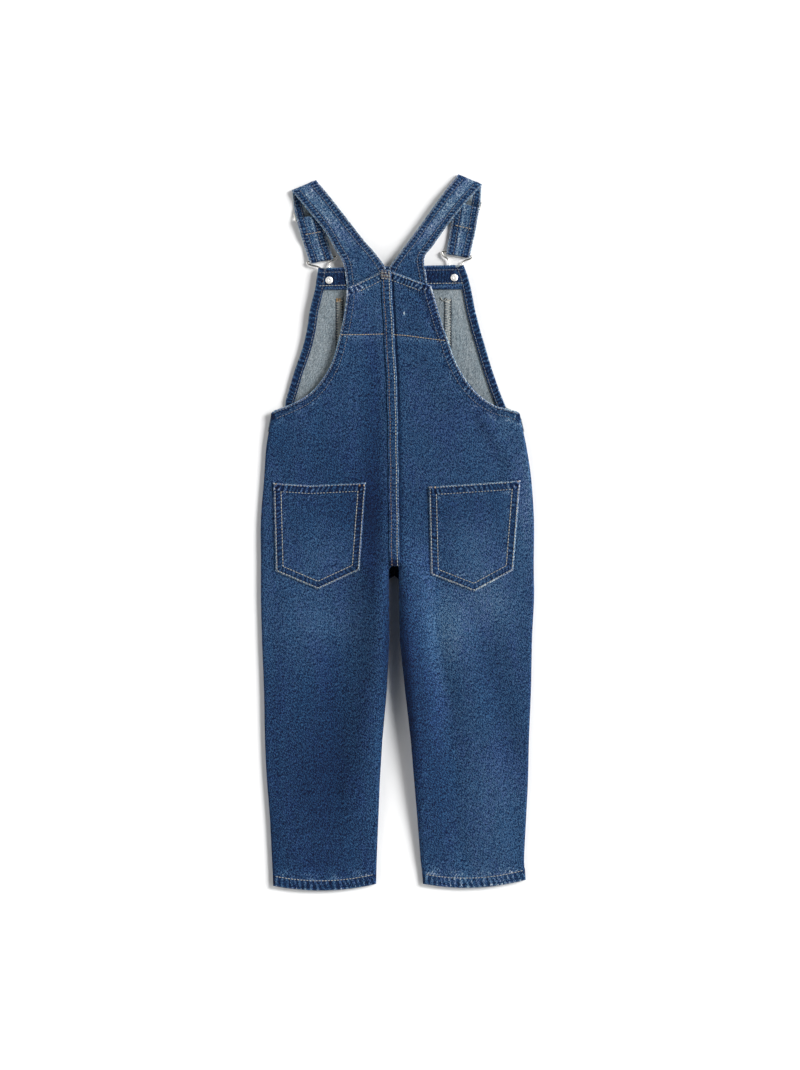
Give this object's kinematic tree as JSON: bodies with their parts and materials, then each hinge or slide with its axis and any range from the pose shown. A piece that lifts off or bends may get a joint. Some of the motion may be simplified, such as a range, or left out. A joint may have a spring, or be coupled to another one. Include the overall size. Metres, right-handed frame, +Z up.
{
  "type": "kids' dungarees laid flat",
  "caption": "Child's denim dungarees laid flat on their front, back up: long legs, patch pockets, bib showing at the armholes, straps folded over to wire buckles.",
  "frame": {"origin": "middle of the garment's outline, on the surface that it lies on", "axes": "+Z up from the surface, +Y from the leg hems to the shoulders, +X to the wearer's right (the back faces up)"},
  "size_m": [0.3144, 0.8237, 0.0127],
  "materials": {
    "denim_face": "washed indigo denim, right side, matt twill",
    "denim_inside": "washed denim, wrong side, pale grey weft",
    "steel": "nickel-plated wire and pressed steel"
  },
  "bodies": {
    "root": {"armhole_hem_left": "denim_face", "armhole_hem_right": "denim_face", "back_left": "denim_face", "back_right": "denim_face", "back_pocket_left": "denim_face", "back_pocket_right": "denim_face", "bib": "denim_inside", "bib_facing": "denim_face", "bib_hem_left": "denim_face", "bib_hem_right": "denim_face", "bib_pocket": "denim_face", "buckle_left": "steel", "buckle_right": "steel", "button_left": "steel", "button_right": "steel", "centre_back_seam": "denim_face", "front_left": "denim_face", "front_right": "denim_face", "leg_hem_back_left": "denim_face", "leg_hem_back_right": "denim_face", "leg_hem_front_left": "denim_face", "leg_hem_front_right": "denim_face", "rivet_left": "steel", "rivet_right": "steel", "slider_left": "steel", "slider_right": "steel", "strap_left": "denim_face", "strap_right": "denim_face"}
  },
  "joints": []
}
